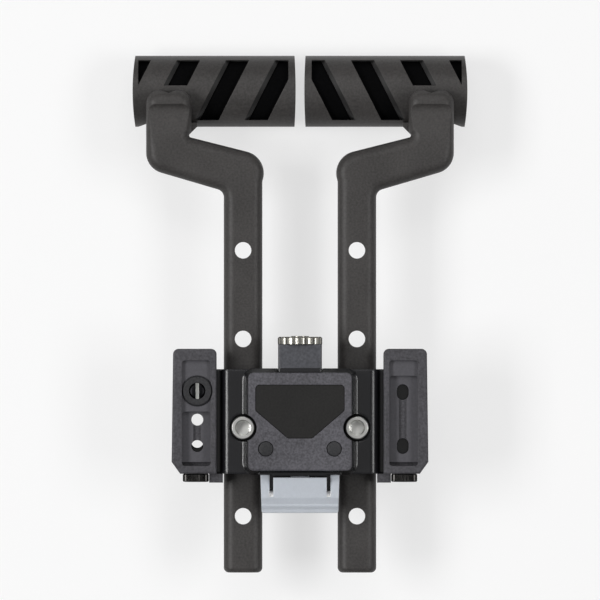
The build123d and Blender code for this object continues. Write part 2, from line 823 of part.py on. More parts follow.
# Catch lever: a panel with a catch nose and a lip, two side arms with hinge ears, and a tail up to the cam
with BuildPart() as release_lever:
    with BuildSketch(Plane.YZ) as lever_profile:
        with BuildLine():
            nose_z = cover_bottom - lever_nose_drop
            Polyline(
                (-lever_front, lever_ramp_foot),
                (-lever_front, nose_z + lever_ramp),
                (-lever_front - lever_nose_reach, nose_z),
                (-lever_front - lever_nose_reach, nose_z - lever_nose_edge),
                (-lever_front - lever_lip_front, lever_bottom + lever_lip_height),
                (-lever_front - lever_lip_front, lever_bottom),
                (-lever_back + lever_lip_back, lever_bottom),
                (-lever_back, lever_bottom + lever_back_height),
                (-lever_back, lever_slot_foot),
                close=True,
            )
        make_face()
        low_corners = lever_profile.vertices().filter_by(lambda corner: corner.Y < lever_ramp_foot)
        fillet(low_corners, lever_edge_radius)
    extrude(amount=lever_half_width, both=True)
    with BuildSketch(Plane.YZ):
        with Locations((-lever_front, lever_ramp_foot)):
            Rectangle(
                lever_panel_thickness,
                cover_bottom - lever_panel_gap - lever_ramp_foot,
                align=(Align.MIN, Align.MIN),
            )
    extrude(amount=lever_panel_half, both=True)
    for inner_x in (lever_half_width - lever_arm_width, -lever_half_width):
        with BuildSketch(Plane.YZ.offset(inner_x)):
            with Locations((-body_front, lever_z)):
                Circle(lever_ear_radius)
            with Locations((-(lever_front + lever_back) / 2, lever_ramp_foot)):
                Circle(lever_panel_thickness / 2)
            make_hull()
        extrude(amount=lever_arm_width)
    with BuildSketch(Plane.YZ):
        with Locations((-body_front, lever_z)):
            Circle(lever_ear_radius)
        with Locations((-(lever_front + lever_back) / 2, lever_slot_foot)):
            Circle(lever_panel_thickness / 2)
        make_hull()
        with Locations((-body_front, lever_z)):
            Rectangle(lever_tail_thickness, tail_top - lever_z, align=(Align.CENTER, Align.MIN))
        with Locations((-body_front - lever_neck_front, cover_bottom - lever_panel_gap)):
            Rectangle(
                lever_panel_front,
                lever_notch_height,
                align=(Align.MAX, Align.MIN),
                mode=Mode.SUBTRACT,
            )
    extrude(amount=lever_tail_half, both=True)
    with BuildSketch(Plane.YZ):
        with Locations((-body_front, lever_z)):
            Circle(pin_radius + pin_clearance)
    extrude(amount=lever_half_width, both=True, mode=Mode.SUBTRACT)
    with BuildSketch(front(latch_back)) as lever_outline:
        with BuildLine():
            Polyline(
                (-lever_half_width, cover_bottom),
                (-lever_half_width + lever_taper, lever_bottom),
                (lever_half_width - lever_taper, lever_bottom),
                (lever_half_width, cover_bottom),
                (lever_half_width, cover_top),
                (-lever_half_width, cover_top),
                close=True,
            )
        make_face()
        fillet(lever_outline.vertices().group_by(Axis.Y)[0], lever_corner_radius)
    extrude(amount=cover_front - latch_back, mode=Mode.INTERSECT)

# Hinge pin, gripped between the body and the cover
with BuildPart() as lever_pin:
    with BuildSketch(Plane.YZ):
        with Locations((-body_front, lever_z)):
            Circle(pin_radius)
    extrude(amount=lever_room_half + pin_grip, both=True)

# Hairpin leaf spring: one leg hangs on the cover's peg, the other pushes the lever's tail back
with BuildPart() as lever_spring:
    with BuildSketch(Plane.YZ):
        with BuildLine():
            leg_y = -cover_inside + spring_thickness / 2
            spring_top = tail_top - spring_top_drop
            FilletPolyline(
                (leg_y, spring_top),
                (leg_y, spring_top - spring_length),
                (leg_y + 3 * spring_bend_radius, spring_top - spring_length),
                (-tail_front - spring_gap - spring_thickness, spring_top - spring_tip_drop),
                radius=spring_bend_radius,
            )
        trace(line_width=spring_thickness)
    extrude(amount=spring_half_width, both=True)
    with BuildSketch(front(cover_inside - 2 * spring_thickness)):
        with Locations((0, spring_top - spring_peg_drop)):
            Circle(spring_peg_radius + spring_peg_clearance)
    extrude(amount=2 * spring_thickness, mode=Mode.SUBTRACT)

# Wing blank for the right-hand side: plate with rounded edges, a foot, and the shallow recess with
# a gutter along its lower edge
with BuildPart() as wing_blank:
    with BuildSketch(front(web_front)) as wing_outline:
        with BuildLine():
            Polyline(
                (wing_inner, wing_top),
                (wing_outer - wing_taper, wing_top),
                (wing_outer, wing_bottom + wing_chamfer_height),
                (wing_outer - wing_chamfer_width, wing_bottom),
                (wing_inner, wing_bottom),
                close=True,
            )
        make_face()
        fillet(wing_outline.vertices().group_by(Axis.Y)[-1], wing_corner_radius)
    extrude(amount=wing_depth)
    fillet(wing_blank.faces().sort_by(Axis.Y)[0].edges(), wing_edge_radius)
    with BuildSketch(front(web_front)):
        with Locations((wing_inner - foot_overhang, wing_bottom)):
            Rectangle(
                foot_overhang + tension_inset - tension_head_radius - foot_gap,
                foot_drop,
                align=(Align.MIN, Align.MAX),
            )
        with Locations((wing_inner, wing_bottom)):
            Rectangle(
                tension_inset - tension_head_radius - foot_gap,
                2 * foot_drop,
                align=(Align.MIN, Align.CENTER),
            )
    extrude(amount=foot_depth)
    with BuildSketch(front(wing_front)) as recess_outline:
        with Locations((recess_x, recess_bottom)):
            Rectangle(recess_width, recess_top - recess_bottom, align=(Align.MIN, Align.MIN))
        fillet(recess_outline.vertices(), recess_radius)
    extrude(amount=-recess_shallow, mode=Mode.SUBTRACT)
    with BuildSketch(front(wing_front)):
        add(recess_outline.sketch_local)
        with Locations((recess_x, recess_bottom)):
            Rectangle(recess_width, gutter_height, align=(Align.MIN, Align.MIN), mode=Mode.INTERSECT)
    extrude(amount=-recess_deep - gutter_depth, mode=Mode.SUBTRACT)
    with BuildSketch(level(wing_bottom)):
        with Locations((tension_x, tension_y)):
            Circle(tension_shank_radius + screw_fit)
    extrude(amount=tension_shank_length, mode=Mode.SUBTRACT)
    with BuildSketch(front(web_front)):
        with Locations((wing_screw_x, wing_screw_top), (wing_screw_x, wing_screw_foot)):
            Circle(wing_screw_radius + screw_fit)
    extrude(amount=wing_screw_grip, mode=Mode.SUBTRACT)

# Right wing: a long deep recess with two oblong cable holes and a groove between them
with BuildPart() as right_wing:
    add(wing_blank.part)
    with BuildSketch(front(wing_front)) as right_deep:
        with Locations((recess_x, recess_bottom)):
            Rectangle(recess_width, wing_top - right_step_drop - recess_bottom, align=(Align.MIN, Align.MIN))
        fillet(right_deep.vertices(), recess_radius)
    extrude(amount=-recess_deep, mode=Mode.SUBTRACT)
    with BuildSketch(front(wing_front)):
        with Locations((cable_x, low_hole_z)):
            Rectangle(
                cable_groove_width, wing_top - right_hole_drop - low_hole_z, align=(Align.CENTER, Align.MIN)
            )
    extrude(amount=-recess_deep - cable_groove_depth, mode=Mode.SUBTRACT)
    with BuildSketch(front(web_front)):
        with Locations((cable_x, low_hole_z), (cable_x, wing_top - right_hole_drop)):
            SlotOverall(cable_hole_height, cable_hole_width, rotation=90)
    extrude(amount=wing_depth, mode=Mode.SUBTRACT)

# Left wing: a seat for the cable plug above a shorter deep recess with two round cable holes
with BuildPart() as left_wing:
    mirror(wing_blank.part, about=Plane.YZ)
    with BuildSketch(front(wing_front)) as left_deep:
        with Locations((-recess_x, recess_bottom)):
            Rectangle(recess_width, wing_top - left_step_drop - recess_bottom, align=(Align.MAX, Align.MIN))
        fillet(left_deep.vertices(), recess_radius)
    extrude(amount=-recess_deep, mode=Mode.SUBTRACT)
    with BuildSketch(front(wing_front)):
        with Locations((-cable_x, low_hole_z)):
            Rectangle(
                cable_groove_width, wing_top - left_hole_drop - low_hole_z, align=(Align.CENTER, Align.MIN)
            )
    extrude(amount=-recess_deep - cable_groove_depth, mode=Mode.SUBTRACT)
    with BuildSketch(front(web_front)):
        with Locations((-cable_x, low_hole_z), (-cable_x, wing_top - left_hole_drop)):
            Circle(cable_hole_width / 2)
    extrude(amount=wing_depth, mode=Mode.SUBTRACT)
    with BuildSketch(front(cable_plug_front - cable_plug_depth)):
        with Locations((-cable_x, cable_plug_z)):
            Circle(cable_plug_radius + cable_plug_fit)
    extrude(amount=cable_plug_depth + cable_plug_sink, mode=Mode.SUBTRACT)

# Screws that hold the wings on the webs, from behind
with BuildPart() as wing_screws:
    with BuildSketch(front(web_back)):
        with Locations(*wing_screw_places):
            Circle(wing_screw_radius)
    extrude(amount=web_depth + wing_screw_grip)
    with BuildSketch(front(web_back)):
        with Locations(*wing_screw_places):
            Circle(wing_screw_head_radius)
    extrude(amount=-wing_screw_head_height)

# Tension screw under a wing
with BuildPart() as right_tension_screw:
    with BuildSketch(level(wing_bottom)):
        with Locations((tension_x, tension_y)):
            Circle(tension_head_radius)
    extrude(amount=-tension_head_height)
    with BuildSketch(level(wing_bottom - tension_head_height)):
        with Locations((tension_x, tension_y)):
            RegularPolygon(tension_socket_flats / 2, 6, major_radius=False)
    extrude(amount=tension_socket_depth, mode=Mode.SUBTRACT)
    with BuildSketch(level(wing_bottom)):
        with Locations((tension_x, tension_y)):
            Circle(tension_shank_radius)
    extrude(amount=tension_shank_length)

with BuildPart() as left_tension_screw:
    mirror(right_tension_screw.part, about=Plane.YZ)

# Cable plug in the left wing and the slotted screw in it
with BuildPart() as cable_plug:
    with BuildSketch(front(cable_plug_front - cable_plug_depth)):
        with Locations((-cable_x, cable_plug_z)):
            Circle(cable_plug_radius)
    extrude(amount=cable_plug_depth)
    chamfer(cable_plug.edges().group_by(Axis.Y)[0], cable_plug_chamfer)
    with BuildSketch(front(cable_plug_front)):
        with Locations((-cable_x, cable_plug_z)):
            Circle(cable_screw_radius + cable_plug_fit)
    extrude(amount=-cable_screw_sink - cable_screw_length, mode=Mode.SUBTRACT)

with BuildPart() as cable_screw:
    with BuildSketch(front(cable_plug_front - cable_screw_sink)):
        with Locations((-cable_x, cable_plug_z)):
            Circle(cable_screw_radius)
    extrude(amount=-cable_screw_length)
    with BuildSketch(front(cable_plug_front - cable_screw_sink)):
        with Locations((-cable_x, cable_plug_z)):
            Rectangle(cable_screw_slot_width, 2 * cable_screw_radius)
    extrude(amount=-cable_screw_slot_depth, mode=Mode.SUBTRACT)

pieces = {
    "left_arm": left_arm,
    "right_arm": right_arm,
    "left_liner": left_liner,
    "right_liner": right_liner,
    "holder_body": holder_body,
    "front_cover": front_cover,
    "cover_inlay": cover_inlay,
    "cover_plugs": cover_plugs,
    "cover_screws": cover_screws,
    "left_rail_screw": left_rail_screw,
    "right_rail_screw": right_rail_screw,
    "back_plate": back_plate,
    "rail_nuts": rail_nuts,
    "lock_barrel": lock_barrel,
    "lock_plug": lock_plug,
    "lock_cam": lock_cam,
    "release_lever": release_lever,
    "lever_pin": lever_pin,
    "lever_spring": lever_spring,
    "left_wing": left_wing,
    "right_wing": right_wing,
    "wing_screws": wing_screws,
    "left_tension_screw": left_tension_screw,
    "right_tension_screw": right_tension_screw,
    "cable_plug": cable_plug,
    "cable_screw": cable_screw,
}
os.makedirs("parts", exist_ok=True)
for name, piece in pieces.items():
    piece.part.label = name
    export_step(piece.part, f"parts/{name}.step")
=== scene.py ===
import bpy
import json
import math
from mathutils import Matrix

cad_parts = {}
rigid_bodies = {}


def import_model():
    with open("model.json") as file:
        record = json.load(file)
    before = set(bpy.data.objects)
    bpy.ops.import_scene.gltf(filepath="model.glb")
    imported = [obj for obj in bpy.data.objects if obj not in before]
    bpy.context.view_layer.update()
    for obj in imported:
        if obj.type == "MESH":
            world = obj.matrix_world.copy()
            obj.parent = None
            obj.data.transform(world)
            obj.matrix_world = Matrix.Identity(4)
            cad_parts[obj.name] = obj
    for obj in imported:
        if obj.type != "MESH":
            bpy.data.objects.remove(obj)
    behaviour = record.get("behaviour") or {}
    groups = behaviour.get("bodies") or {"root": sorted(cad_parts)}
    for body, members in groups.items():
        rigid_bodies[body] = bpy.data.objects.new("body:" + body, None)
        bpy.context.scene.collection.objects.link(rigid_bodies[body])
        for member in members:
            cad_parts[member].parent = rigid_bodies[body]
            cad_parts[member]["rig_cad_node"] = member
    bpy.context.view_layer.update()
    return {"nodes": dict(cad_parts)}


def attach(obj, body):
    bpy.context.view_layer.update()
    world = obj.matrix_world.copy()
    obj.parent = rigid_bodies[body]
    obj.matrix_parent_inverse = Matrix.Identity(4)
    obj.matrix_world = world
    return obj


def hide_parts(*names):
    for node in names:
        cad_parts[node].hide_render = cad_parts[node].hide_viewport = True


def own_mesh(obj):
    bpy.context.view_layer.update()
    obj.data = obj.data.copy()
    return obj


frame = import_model()


# Arms: two mirrored mouldings of glass-filled black plastic. Each has a slotted half shell for the
# handlebar, a tongue with a ledge and a hollow under its crown, a Z bend and a rail with screw holes.
# The mould leaves a fine grain, the edges are painted a little brighter as a highlight, and the slots'
# walls are painted darker as shade.
class Value:
    """A number that a shader works out; each sum, product or test on it adds one Math node."""

    def __init__(self, finish, socket):
        self.finish = finish
        self.socket = socket

    def math(self, operation, first, second=0.0):
        return self.finish.node("ShaderNodeMath", {"operation": operation}, {0: first, 1: second})

    def __add__(self, other):
        return self.math("ADD", self, other)

    def __sub__(self, other):
        return self.math("SUBTRACT", self, other)

    def __rsub__(self, other):
        return self.math("SUBTRACT", other, self)

    def __mul__(self, other):
        return self.math("MULTIPLY", self, other)

    def __lt__(self, other):
        return self.math("LESS_THAN", self, other)

    def __gt__(self, other):
        return self.math("GREATER_THAN", self, other)

    __radd__ = __add__
    __rmul__ = __mul__

    def size(self):
        return self.math("ABSOLUTE", self)

    def clamp(self):
        clamped = self.math("ADD", self)
        clamped.socket.node.use_clamp = True
        return clamped


class Finish:
    """A material with one Principled shader, and the one method that adds its other nodes."""

    def __init__(self, name, **settings):
        self.material = bpy.data.materials.new(name)
        self.material.use_nodes = True
        self.tree = self.material.node_tree
        self.shader = self.tree.nodes["Principled BSDF"]
        for socket, value in settings.items():
            self.feed(socket.replace("_", " "), value)

    def node(self, kind, settings=None, inputs=None, output=0):
        made = self.tree.nodes.new(kind)
        for name, value in (settings or {}).items():
            setattr(made, name, value)
        for socket, value in (inputs or {}).items():
            self.join(made.inputs[socket], value)
        return Value(self, made.outputs[output])

    def join(self, socket, value):
        if isinstance(value, Value):
            self.tree.links.new(value.socket, socket)
        else:
            socket.default_value = value

    def feed(self, socket, value):
        self.join(self.shader.inputs[socket], value)

    def places(self):
        return self.node("ShaderNodeTexCoord", output="Object")

    def axes(self):
        split = self.node("ShaderNodeSeparateXYZ", inputs={0: self.places()})
        return [Value(self, socket) for socket in split.socket.node.outputs]

    def noise(self, scale, detail=2.0):
        inputs = {"Vector": self.places(), "Scale": scale, "Detail": detail}
        return self.node("ShaderNodeTexNoise", inputs=inputs)

    def blend(self, factor, first, second):
        inputs = {0: factor, 6: first, 7: second}
        return self.node("ShaderNodeMix", {"data_type": "RGBA"}, inputs, output=2)

    def edges(self, width, gain, samples=6):
        rounded = self.node("ShaderNodeBevel", {"samples": samples}, {"Radius": width})
        plain = self.node("ShaderNodeNewGeometry", output="Normal")
        settings = {"operation": "DOT_PRODUCT"}
        flat = self.node("ShaderNodeVectorMath", settings, {0: rounded, 1: plain}, output="Value")
        return rounded, ((1 - flat) * gain).clamp()


def paint(shade):
    """A colour from its sRGB values, 0 to 255."""
    return [((part / 255 + 0.055) / 1.055) ** 2.4 for part in shade] + [1]


def tint(base, share, lift=0.0):
    """A darker or lighter kind of a colour."""
    return [min(1, part * share + lift) for part in base[:3]] + [1]


cloud_scale = 60.0
fleck_scale = 900.0
skin_scale = 2400.0
cloud_share = 0.35
fleck_contrast = 3
rim_gain = 2.2
# How strongly the edges are painted lighter: a painted highlight
highlight_share = 0.6
highlight_lift = 0.01
cloud_rough = 0.06
skin_rough = 0.08
rim_rough = 0.05
grain_depth = 0.0001


def moulded(name, shade, roughness, grain, sheen=0.35, edge_highlight=0.35, mottle=0.4, rounding=0.0006):
    """Moulded plastic: flecked colour, a grained skin and edges painted a little brighter as a
    highlight.
    """
    finish = Finish(name, Specular_IOR_Level=sheen)
    cloud = finish.noise(cloud_scale, detail=4.0)
    fleck = finish.noise(fleck_scale)
    skin = finish.noise(skin_scale, detail=3.0)
    rounded, rim = finish.edges(rounding, rim_gain)
    base = paint(shade)
    mixture = cloud * cloud_share + fleck * (1 - cloud_share)
    spots = ((mixture - 0.5) * fleck_contrast + 0.5).clamp()
    body = finish.blend(spots, tint(base, 1 - mottle), tint(base, 1 + mottle))
    # Painted highlight: the edge mask colours the edges lighter
    finish.colour = finish.blend(rim * highlight_share, body, tint(base, 1 + edge_highlight, highlight_lift))
    finish.rough = roughness - cloud_rough + cloud * cloud_rough + skin * skin_rough - rim * rim_rough
    finish.feed("Base Color", finish.colour)
    finish.feed("Roughness", finish.rough)
    bump = {"Height": skin, "Strength": grain, "Distance": grain_depth, "Normal": rounded}
    finish.feed("Normal", finish.node("ShaderNodeBump", inputs=bump))
    return finish


def pick(piece, kind, chosen):
    """Opens a piece for editing with only the chosen faces or corners selected."""
    bpy.ops.object.mode_set(mode="EDIT")
    bpy.ops.mesh.select_mode(type={"polygons": "FACE", "vertices": "VERT"}[kind])
    bpy.ops.mesh.select_all(action="DESELECT")
    bpy.ops.object.mode_set(mode="OBJECT")
    for part in getattr(piece.data, kind):
        part.select = chosen(part)
    bpy.ops.object.mode_set(mode="EDIT")


def strip(width, place, run):
    """A strip drawn out step by step from an edge at a place, and left open for editing."""
    bpy.ops.object.select_all(action="DESELECT")
    bpy.ops.mesh.primitive_plane_add(size=width, location=place)
    drawn = bpy.context.object
    bpy.ops.object.transform_apply(location=True, rotation=True, scale=True)
    pick(drawn, "vertices", lambda corner: corner.co.y > place[1])
    bpy.ops.mesh.delete(type="VERT")
    bpy.ops.mesh.select_all(action="SELECT")
    bpy.ops.transform.translate(value=(0, width / 2, 0))
    for back, rise in run:
        bpy.ops.mesh.extrude_region_move(TRANSFORM_OT_translate={"value": (0, back, rise)})
    return drawn


def carve(piece, tool, operation="DIFFERENCE"):
    """Cuts a tool's shape out of a piece, or keeps only what both share."""
    cutter = piece.modifiers.new("cutter", "BOOLEAN")
    cutter.operation = operation
    cutter.object = tool
    bpy.context.view_layer.objects.active = piece
    bpy.ops.object.modifier_apply(modifier=cutter.name)
    bpy.data.objects.remove(tool)


smooth_angle = math.radians(32)


def settle(piece, place, turn=(0, 0, 0)):
    """Moves a piece to its place, which goes into its mesh, and smooths its round faces."""
    bpy.ops.object.select_all(action="DESELECT")
    piece.select_set(True)
    bpy.context.view_layer.objects.active = piece
    piece.location = place
    piece.rotation_euler = turn
    bpy.ops.object.transform_apply(location=True, rotation=True, scale=True)
    bpy.ops.object.shade_smooth_by_angle(angle=smooth_angle)


def twin(piece):
    """A copy of a piece, with a mesh of its own."""
    bpy.ops.object.select_all(action="DESELECT")
    piece.select_set(True)
    bpy.context.view_layer.objects.active = piece
    bpy.ops.object.duplicate()
    return bpy.context.object


def fit(piece, name, finish, node):
    """Names a piece, gives it its finish and joins it to the frame in place of a CAD node."""
    piece.name = name
    piece.data.name = name
    piece.data.materials.append(finish.material)
    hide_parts(node)
    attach(piece, "mount")


arm_plastic = moulded("arm_plastic", (60, 58, 57), 0.50, 0.25, mottle=0.28)
wall_inner = 0.0172
wall_outer = 0.01908
slot_wall_shade = paint((24, 23, 23))
_, behind, height = arm_plastic.axes()
spread = behind * behind + height * height
shaded_slot_wall = (spread > wall_inner ** 2) * (spread < wall_outer ** 2)
# Painted shade: the walls of the slots are coloured darker
arm_plastic.feed("Base Color", arm_plastic.blend(shaded_slot_wall, arm_plastic.colour, slot_wall_shade))
touch = 1e-6
tongue_middle = 0.0708
tongue_front = -0.0302
ledge_width = 0.0284
crown_foot = -0.0070
tool_depth = 0.004
ledge_run = [
    (0.0005, -0.0003), (0.0007, -0.0006), (0.0006, -0.0008), (0.0004, -0.0009), (0.0002, -0.0010),
    (0.0, -0.0012), (-0.0003, -0.0020), (-0.0006, -0.0032), (-0.0008, -0.0036), (-0.0007, -0.0034),
    (-0.0003, -0.0016),
]
for name, side in (("left", -1), ("right", 1)):
    # The copy is a piece of its own, so it loses the CAD node's mark, finish and fixed normals
    arm = twin(frame["nodes"][name + "_arm"])
    del arm["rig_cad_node"]
    arm.data.materials.clear()
    bpy.ops.mesh.customdata_custom_splitnormals_clear()
    bpy.ops.object.mode_set(mode="EDIT")
    bpy.ops.mesh.select_all(action="SELECT")
    bpy.ops.mesh.remove_doubles(threshold=touch)
    bpy.ops.object.mode_set(mode="OBJECT")
    ledge_tool = strip(ledge_width, (side * tongue_middle, tongue_front, crown_foot), ledge_run)
    bpy.ops.mesh.select_all(action="SELECT")
    bpy.ops.mesh.extrude_region_move(TRANSFORM_OT_translate={"value": (0, -tool_depth, 0)})
    bpy.ops.mesh.select_all(action="SELECT")
    bpy.ops.mesh.normals_make_consistent(inside=False)
    bpy.ops.object.mode_set(mode="OBJECT")
    carve(arm, ledge_tool)
    settle(arm, (0, 0, 0))
    even = arm.modifiers.new("even", "WEIGHTED_NORMAL")
    even.keep_sharp = True
    bpy.ops.object.modifier_apply(modifier=even.name)
    fit(arm, name + "_moulded_arm", arm_plastic, name + "_arm")


# Liners: half-round pads of black rubber, glued into the shells. The skin behind the slots is deep
# black, and the face that grips the handlebar is painted a lighter grey as light, so it shows in the
# shade.
def dress(finish, *names):
    """Gives CAD nodes their finish."""
    for name in names:
        mesh = frame["nodes"][name].data
        mesh.materials.clear()
        mesh.materials.append(finish.material)


liner_rubber = moulded("liner_rubber", (4, 4, 5), 0.9, 0.30, sheen=0.05, edge_highlight=0.0)
liner_middle = 0.0165
lit_grip_dark = paint((30, 30, 31))
lit_grip_bright = paint((62, 62, 63))
_, behind, height = liner_rubber.axes()
gripping = (behind * behind + height * height) < liner_middle ** 2
painted_grip_light = liner_rubber.blend(liner_rubber.noise(fleck_scale), lit_grip_dark, lit_grip_bright)
# Painted light: the gripping face is coloured lighter than the rubber
liner_rubber.feed("Base Color", liner_rubber.blend(gripping, liner_rubber.colour, painted_grip_light))
dress(liner_rubber, "left_liner", "right_liner")

# Bracket body: one smooth black moulding with two saddles over the rails, webs behind the wings and
# the tower for the lock. Its polished mould leaves a soft gloss, its edges are painted much lighter as
# a highlight, but the tower's skin is matt.
body_gloss = moulded(
    "body_gloss", (26, 26, 29), 0.20, 0.04, sheen=0.45, edge_highlight=3.0, mottle=0.1, rounding=0.0016
)
tower_half = 0.0127
tower_foot = -0.1494
tower_rough = 0.26
tower_dark = paint((44, 45, 49))
tower_light = paint((90, 91, 97))
across, _, height = body_gloss.axes()
tower = (across.size() < tower_half) * (height > tower_foot)
matt = body_gloss.blend(body_gloss.noise(fleck_scale), tower_dark, tower_light)
body_gloss.feed("Base Color", body_gloss.blend(tower, body_gloss.colour, matt))
body_gloss.feed("Roughness", body_gloss.rough + tower * tower_rough)
dress(body_gloss, "holder_body")

# Back plate: a bar of the arms' black plastic that lies behind both rails. The clamp screws pull it
# up against them, and the nuts sit in its pockets.
dress(arm_plastic, "back_plate")


# Clamp screws: zinc-plated steel with a socket for a key, turned from bar; their rims are painted
# brighter as a highlight. Each goes through the bracket and a rail hole into a nut in the back plate.
plating_scale = 220.0
mark_scale = 5000.0
mark_strength = 0.06
plating_rough = 0.10
mark_rough = 0.06
mean_rough = 0.08
turned_edge = 0.0003
turned_gain = 2.0
turned_highlight_share = 0.8
turned_highlight_lift = 1.25


def turned(name, shade, roughness, dark_share=0.82):
    """Turned and plated steel with cloudy plating, fine tool marks and edges painted bright as a
    highlight.
    """
    finish = Finish(name, Metallic=1.0)
    cloud = finish.noise(plating_scale, detail=3.0)
    marks = finish.noise(mark_scale)
    rounded, rim = finish.edges(turned_edge, turned_gain)
    base = paint(shade)
    plated = finish.blend(cloud, tint(base, dark_share), base)
    # Painted highlight: the edge mask colours the edges lighter
    finish.feed("Base Color", finish.blend(rim * turned_highlight_share, plated, tint(base, turned_highlight_lift)))
    finish.feed("Roughness", roughness + cloud * plating_rough + marks * mark_rough - mean_rough)
    bump = {"Height": marks, "Strength": mark_strength, "Distance": grain_depth, "Normal": rounded}
    finish.feed("Normal", finish.node("ShaderNodeBump", inputs=bump))
    return finish


def blank(sides, radius, height):
    """A round or many-sided bar that stands on the origin, to be worked on."""
    bpy.ops.object.select_all(action="DESELECT")
    place = (0, 0, height / 2)
    bpy.ops.mesh.primitive_cylinder_add(vertices=sides, radius=radius, depth=height, location=place)
    bpy.ops.object.transform_apply(location=True, rotation=True, scale=True)
    return bpy.context.object


end_facing = 0.9


def lathe(piece, rings, up=1):
    """Works the top end of a piece, or its bottom end: each ring steps it in and out."""
    reach = max(corner.co.z * up for corner in piece.data.vertices) - touch
    pick(piece, "polygons", lambda face: face.center.z * up > reach and face.normal.z * up > end_facing)
    for inward, outward in rings:
        bpy.ops.mesh.inset(thickness=inward, depth=outward)
    bpy.ops.object.mode_set(mode="OBJECT")


def pair(piece):
    """A piece and its twin, as the left and the right one."""
    return ("left", -1, piece), ("right", 1, twin(piece))


to_front = (math.pi / 2, 0, 0)
to_back = (-math.pi / 2, 0, 0)
hair = 1e-5
round_sides = 72
screw_steel = turned("screw_steel", (232, 232, 228), 0.30)
clamp_x = 0.0307
clamp_z = -0.1816
clamp_seat = 0.034
clamp_radius = 0.0065
clamp_height = 0.0071
clamp_rim = [(0.0003, 0.0006), (0.0004, 0.0003), (0.0016, 0.0), (0.0004, -0.0012)]
clamp_shank = [(0.0025, 0.0), (hair, 0.0267), (0.0008, 0.0008)]
socket_radius = 0.0037
socket_height = 0.004
socket_foot = 0.0050
socket_point = [(0.0024, 0.0005)]
clamp_screw = blank(round_sides, clamp_radius, clamp_height)
lathe(clamp_screw, clamp_rim)
lathe(clamp_screw, clamp_shank, up=-1)
socket_tool = blank(6, socket_radius, socket_height)
lathe(socket_tool, socket_point, up=-1)
settle(socket_tool, (0, 0, socket_foot))
carve(clamp_screw, socket_tool)
for name, side, piece in pair(clamp_screw):
    settle(piece, (side * clamp_x, -clamp_seat, clamp_z), to_front)
    fit(piece, name + "_clamp_screw", screw_steel, name + "_rail_screw")

# Clamp nuts: six-sided nuts of the same plated steel. Their corners are turned off at both ends,
# and the pockets of the back plate hold them from turning.
nut_back = 0.0075
nut_height = 0.0065
nut_flat = 0.0065
nut_corner = nut_flat / math.cos(math.pi / 6)
nut_bore = 0.00405
nut_bore_sides = 48
corner_cut = 0.0001
corner_slope = [(0.0011, 0.0005)]
slope_height = 0.0005
clamp_nut = blank(6, nut_corner, nut_height)
settle(clamp_nut, (0, 0, 0), (0, 0, math.pi / 6))
corner_tool = blank(round_sides, nut_corner - corner_cut, nut_height - 2 * slope_height)
lathe(corner_tool, corner_slope)
lathe(corner_tool, corner_slope, up=-1)
settle(corner_tool, (0, 0, slope_height))
carve(clamp_nut, corner_tool, "INTERSECT")
bore_tool = blank(nut_bore_sides, nut_bore, 3 * nut_height)
settle(bore_tool, (0, 0, -nut_height))
carve(clamp_nut, bore_tool)
for name, side, piece in pair(clamp_nut):
    settle(piece, (side * clamp_x, -nut_back, clamp_z), to_front)
    fit(piece, name + "_clamp_nut", screw_steel, "rail_nuts")

# Lock: a nickel-plated barrel with a scalloped cap, which sits in the body's tower, and in it a plug
# with a keyway. A steel cam is fixed on the plug's inner end and turns with it.
lock_metal = turned("lock_metal", (148, 146, 139), 0.24)
dress(lock_metal, "lock_barrel", "lock_plug")
dress(screw_steel, "lock_cam")

# Catch lever: smooth, slightly milky light grey plastic, hinged on a steel pin. The feet of the two
# slots beside its panel are painted white, a painted highlight for the light on their ramps.
lever_plastic = moulded(
    "lever_plastic", (190, 195, 202), 0.36, 0.06, edge_highlight=0.30, mottle=0.03, rounding=0.0013
)
slot_x = 0.0154
slot_half = 0.0012
slot_foot = -0.2156
panel_front = -0.0514
ramp_highlight = paint((250, 250, 250))
milk = 0.5
milk_depth = 0.0025
across, behind, height = lever_plastic.axes()
lit_ramp = ((across.size() - slot_x).size() < slot_half) * (height < slot_foot) * (behind > panel_front)
# Painted highlight: the ramps at the slot feet are coloured white
lever_plastic.feed("Base Color", lever_plastic.blend(lit_ramp, lever_plastic.colour, ramp_highlight))
lever_plastic.feed("Subsurface Weight", milk)
lever_plastic.feed("Subsurface Radius", (1, 1, 1))
lever_plastic.feed("Subsurface Scale", milk_depth)
dress(lever_plastic, "release_lever")
dress(screw_steel, "lever_pin")

# Lever spring: a hairpin of blued strip steel, built in its rest shape. One leg hangs on a peg of the
# cover, the other pushes the lever's tail back; in the real part both close up when the lever is
# pressed.
spring_steel = turned("spring_steel", (120, 122, 128), 0.35)
spring_top = -0.1687
spring_width = 0.008
spring_strip = 0.0004
leg_y = -0.0543
peg_radius = 0.0015
peg_length = 0.004
peg_drop = 0.006
peg_sides = 32
spring_run = [
    (0.0, -0.0240), (0.0003, -0.0013), (0.0008, -0.0006), (0.0009, 0.0001), (0.0007, 0.0007),
    (0.0012, 0.0026), (0.0021, 0.0045), (0.0020, 0.0043), (0.0017, 0.0036), (0.0012, 0.0022),
    (0.0002, 0.0012), (-0.0004, 0.0008),
]
lever_strip = strip(spring_width, (0, leg_y, spring_top), spring_run)
bpy.ops.object.mode_set(mode="OBJECT")
thick = lever_strip.modifiers.new("thick", "SOLIDIFY")
thick.thickness = spring_strip
thick.offset = 0.0
bpy.ops.object.modifier_apply(modifier=thick.name)
peg_tool = blank(peg_sides, peg_radius, peg_length)
settle(peg_tool, (0, leg_y + peg_length / 2, spring_top - peg_drop), to_front)
carve(lever_strip, peg_tool)
settle(lever_strip, (0, 0, 0))
fit(lever_strip, "leaf_spring", spring_steel, "lever_spring")
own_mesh(lever_strip)
